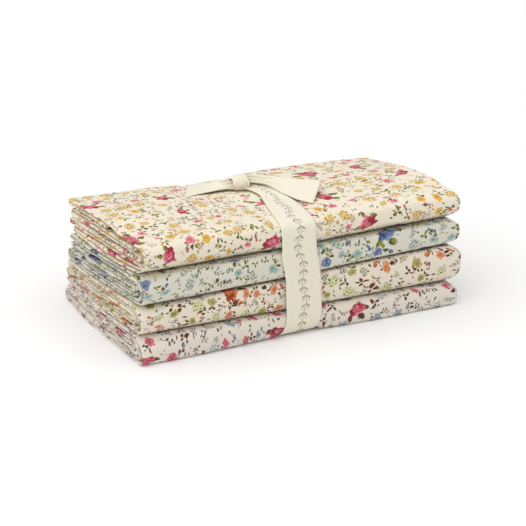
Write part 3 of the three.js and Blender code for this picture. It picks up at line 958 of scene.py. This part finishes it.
# ---- The print ----

# The motifs of each layer, with the range of a point's random number in which each one lies there
FLOWERS = [(open_flower, 0.02, 0.54), (umbel, 0.54, 0.82), (leafy_twig, 0.82, 0.93), (sprig, 0.93, 1)]
TWIGS = [
    (bud, 0.05, 0.32), (sprig, 0.32, 0.46), (trefoil, 0.46, 0.68), (leafy_twig, 0.68, 0.88), (spray, 0.88, 1),
]
TICKS = [(tick("leaf_dark"), 0.05, 0.42), (tick("sprig"), 0.42, 0.74), (tick("first_light"), 0.74, 0.8)]

# The layers, from the largest motifs down: the distance between neighbours, how unevenly they lie, a shift
# of the whole layer, the radius that a motif is drawn in, the radius that it keeps clear of others, and
# the random number above which it has the second of its two colours
LAYERS = table(
    "apart uneven shift radius keeps second motifs",
    (46, 0.7, (13, 7, 0), 10.5, 7, 0, [(rose, -1, 1)]),
    (11.5, 0.5, (131, 57, 0), 4.1, 3.4, 0.26, FLOWERS),
    (6.8, 0.5, (53, 223, 0), 3.8, 1.7, 0.3, TWIGS),
    (3.6, 0.8, (311, 91, 0), 1.4, 0.3, 0, TICKS),
)

# The paints on each cloth, as they look in sRGB
SLOTS = "cotton_warm_cream cotton_pale_blue cotton_cream cotton_grey_beige"
PAINTS = table(
    "paint " + SLOTS,
    ("ground", "f0e6d1", "dfdacb", "ece2d0", "e8dfd2"),
    ("rose_pale", "f0b0b8", "a2b4d0", "f4bb94", "e89ca8"),
    ("rose_light", "de6f88", "7088b4", "ea8e58", "d25c70"),
    ("rose_mid", "c93a5c", "486394", "d6622a", "ba364c"),
    ("rose_dark", "981530", "263c68", "9c3c16", "881c30"),
    ("first_light", "e2708a", "6a7fa8", "e0874c", "98a4b0"),
    ("first_dark", "b82a4a", "304878", "b0502a", "5c6a7c"),
    ("second_light", "e4b02a", "9cbab2", "b2a448", "d05a72"),
    ("second_dark", "b8801a", "648a84", "766c28", "a42a3c"),
    ("dots", "8c6420", "4a625e", "626828", "5c6a76"),
    ("dots_ground", "e4bf58", "b2c4b4", "dad8a0", "d1d4d0"),
    ("sprig", "c08c34", "789088", "7f7a40", "80827a"),
    ("leaf", "84862a", "87892e", "80421c", "744028"),
    ("leaf_dark", "4b4f1c", "52561e", "4e2812", "4c2a1c"),
    ("stem", "6a6638", "6c6a4a", "5c4028", "56473c"),
)
PRINT_SHIFTS = dict(zip(SLOTS.split(), ((0, 0, 0), (431, 212, 0), (862, 668, 0), (1325, 352, 0))))


def points_of(layer, place, output, **settings):
    """One output of the cells in which a layer's motifs lie."""
    return place.moved(layer["shift"]).cells(1 / layer["apart"], layer["uneven"], output, **settings)


def about_motif(layer, place):
    """The point about its nearest motif's centre, a random number and whether the motif is there."""
    centre = points_of(layer, place, "Position").minus(layer["shift"])
    turn, swell, random = points_of(layer, place, "Color").split("Color")
    room = points_of(layer, place, "Radius", feature="N_SPHERE_RADIUS") * layer["apart"]
    size = (room / layer["radius"]).math("MINIMUM", swell * 0.4 + 0.72)
    x, y, _ = place.minus(centre).turned(turn * math.tau).split()

    # 1 where the motif keeps clear of the larger ones
    kept = 1
    for larger in LAYERS[:LAYERS.index(layer)]:
        away = points_of(larger, centre, "Distance") * larger["apart"]
        kept = away.over(larger["keeps"] + layer["keeps"]) * kept
    return x / size, y / size, random, kept


def with_motifs(layer, place, colors, under):
    """A colour with one layer's motifs painted over it."""
    x, y, random, kept = about_motif(layer, place)
    for shade in ("light", "dark"):
        both = colors["first_" + shade].painted(colors["second_" + shade], random.over(layer["second"]))
        colors = {**colors, shade: both}
    color = under
    for motif, low, high in layer["motifs"]:
        chosen = random.over(low) - random.over(high)
        color = color.painted(motif(x, y, colors, under), chosen * kept)
    return color


def floral_print():
    """A node group: a small scattered floral of roses, open flowers, dotted heads, buds and twigs."""
    tree = bpy.data.node_groups.new("floral_print", "ShaderNodeTree")
    paints = column_of(PAINTS, "paint")
    sockets = [("Place", "INPUT", "Vector")] + [(name, "INPUT", "Color") for name in paints]
    for name, in_out, kind in sockets + [("Color", "OUTPUT", "Color")]:
        tree.interface.new_socket(name, in_out=in_out, socket_type="NodeSocket" + kind)
    given, result = tree.nodes.new("NodeGroupInput"), tree.nodes.new("NodeGroupOutput")
    place = Wire(tree, given.outputs["Place"])
    colors = {name: Wire(tree, given.outputs[name]) for name in paints}

    # Brushed edges: the whole print is shifted unevenly, broadly and then finely
    for scale, amount in ((0.11, 5.0), (0.55, 1.0)):
        place = place.moved(place.clouds(scale, 2.0, "Color").minus((0.5, 0.5, 0.5)).scaled(amount))

    color = colors["ground"]
    for layer in reversed(LAYERS):
        color = with_motifs(layer, place, colors, color)
    tree.links.new(color.socket, result.inputs["Color"])
    return tree


# ---- Materials ----

WEAVE = 0.34  # pitch of the cotton's threads
PRINT_SIZE = 1.2  # how much larger the print is than the motifs as drawn
TAPE_WEAVE = (0.62, 0.5)
VINE_WAVE, VINE_SWAY, VINE_STEP, VINE_LEAF = 27, 1.6, 6.4, 4.2


def linear(code):
    """An sRGB colour, written in hexadecimal, as linear red, green, blue and alpha."""
    channels = [int(code[k:k + 2], 16) / 255 for k in (0, 2, 4)]
    return [c / 12.92 if c <= 0.04045 else ((c + 0.055) / 1.055) ** 2.4 for c in channels] + [1]


IVORY, IVORY_SHADE, INK = map(linear, ("f3ecd9", "ddd2b8", "7c7766"))


def new_material(name, roughness, inputs):
    """A material whose shader has these inputs, with its node tree and its shader."""
    material = bpy.data.materials.new(name)
    material.use_nodes = True
    shader = material.node_tree.nodes["Principled BSDF"]
    shader.inputs["Roughness"].default_value = roughness
    for socket, value in inputs.items():
        shader.inputs[socket].default_value = value
    return material, material.node_tree, shader


def unrolled(tree):
    """The place on the unrolled cloth."""
    uv = tree.nodes.new("ShaderNodeUVMap")
    uv.uv_map = "UVMap"
    return Wire(tree, uv.outputs["UV"]).scaled(1 / MM)


def threads(x, y, across, along):
    """Threads over and under, at a pitch across the cloth and one along it."""
    return (x * (math.tau / across)).sine() * (y * (math.tau / along)).sine()


def finish(tree, shader, color, height, strength):
    bump = height.node("Bump", {"Height": height, "Strength": strength, "Distance": MM}, "Normal")
    tree.links.new(color.socket, shader.inputs["Base Color"])
    tree.links.new(bump.socket, shader.inputs["Normal"])


def cotton(slot, print_group):
    """Printed cotton, pale on its wrong side, a little mottled and crumpled."""
    material, tree, shader = new_material(slot, 0.88, {"Sheen Weight": 0.1, "Specular IOR Level": 0.25})
    paints = {row["paint"]: linear(row[slot]) for row in PAINTS}
    place = unrolled(tree)
    group = tree.nodes.new("ShaderNodeGroup")
    group.node_tree = print_group
    tree.links.new(place.scaled(1 / PRINT_SIZE).moved(PRINT_SHIFTS[slot]).socket, group.inputs["Place"])
    for name, paint in paints.items():
        group.inputs[name].default_value = paint
    printed = Wire(tree, group.outputs["Color"])
    right_side = place.node("Attribute", output="Fac", attribute_name="printed")
    color = printed.painted(paints["ground"], 0.78).painted(printed, right_side)
    mottle = place.clouds(0.9, 3.0).ramp(0.3, 0.75) * 0.07
    color = color.painted([0.62 * c for c in paints["ground"][:3]] + [1], mottle)
    x, y, _ = place.split()
    height = threads(x, y, WEAVE, WEAVE) * 0.02 + place.clouds(0.06, 4.0) * 0.9
    finish(tree, shader, color, height, 0.5)
    return material


def woven_tape():
    """Ivory cotton tape: a fine warp, a firm edge, and a plain grey vine printed down its middle."""
    inputs = {"Sheen Weight": 0.08, "Specular IOR Level": 0.25}
    material, tree, shader = new_material("tape_ivory", 0.85, inputs)
    place = unrolled(tree)
    across, along, _ = place.split()
    x = across - TAPE_WIDTH / 2
    aside = x - (along * (math.tau / VINE_WAVE)).sine() * VINE_SWAY
    out = abs(aside)
    step = ((along / VINE_STEP).fraction() - 0.5) * VINE_STEP
    leaves = leaf_from(out, step, (0, 0), (0.75, 0.66), 0.5, VINE_LEAF, 1.5)
    berry = oval(out, step, 2.1, -2.3, 1.0, 1.0)
    inked = most(out.ramp(0.42, 0.22), leaves, berry) * abs(x).ramp(7, 6.5)
    ivory = place.node("RGB")
    ivory.socket.default_value = IVORY
    worn = place.clouds(1.3, 3.0)
    color = ivory.painted(IVORY_SHADE, worn.ramp(0.35, 0.75) * 0.25)
    color = color.painted(INK, inked * worn.ramp(0.2, 0.45) * 0.75)
    edge = abs(TAPE_WIDTH / 2 - abs(x)).ramp(1.6, 0.6)
    height = threads(across, along, *TAPE_WEAVE) * 0.035 + worn * 0.25 + edge * 0.08
    finish(tree, shader, color, height, 0.7)
    return material


# ---- Floor, lights and camera ----

FLOOR_REACH = 6


def floor():
    corners = [(x * FLOOR_REACH, y * FLOOR_REACH, 0) for x, y in ((-1, -1), (1, -1), (1, 1), (-1, 1))]
    mesh = bpy.data.meshes.new("floor")
    mesh.from_pydata(corners, [], [(0, 1, 2, 3)])
    white, _, _ = new_material("floor_white", 0.9, {"Base Color": (0.96, 0.96, 0.96, 1)})
    mesh.materials.append(white)
    linked("floor", mesh)


def aimed(name, data, place, aim):
    """A light or a camera at a place, turned to look at another."""
    made = linked(name, data)
    made.location = place
    made.rotation_euler = (Vector(aim) - Vector(place)).to_track_quat("-Z", "Y").to_euler()
    return made


def studio():
    """A white room under one very broad overhead light, which is even over the whole floor."""
    world = bpy.data.worlds.new("studio")
    world.use_nodes = True
    background = world.node_tree.nodes["Background"].inputs
    background["Color"].default_value = (1, 1, 1, 1)
    background["Strength"].default_value = 0.07
    bpy.context.scene.world = world
    bpy.context.scene.view_settings.view_transform = "Standard"
    overhead = bpy.data.lights.new("overhead", "SUN")
    overhead.energy = 3.3
    overhead.angle = math.radians(120)
    aimed("overhead", overhead, (-0.27, -0.12, 1), (0, 0, 0))


def camera():
    lens = bpy.data.cameras.new("camera")
    lens.sensor_width, lens.lens = 36, 136.8
    lens.clip_start, lens.clip_end = 0.05, 20
    bpy.context.scene.camera = aimed("camera", lens, (-0.6237, -1.2247, 0.5598), (-0.0078, -0.0155, 0.0366))


# ---- The bundle ----

def declare(piece, node):
    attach(piece, "root")
    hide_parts(node)


floor()
studio()
camera()
print_group = floral_print()
for level, cloth in enumerate(CLOTHS):
    piece = cloth_piece(cloth, level)
    piece.data.materials.append(cotton(cloth["slot"], print_group))
    declare(piece, cloth["node"])
tape = tape_piece()
tape.data.materials.append(woven_tape())
declare(tape, "tape")
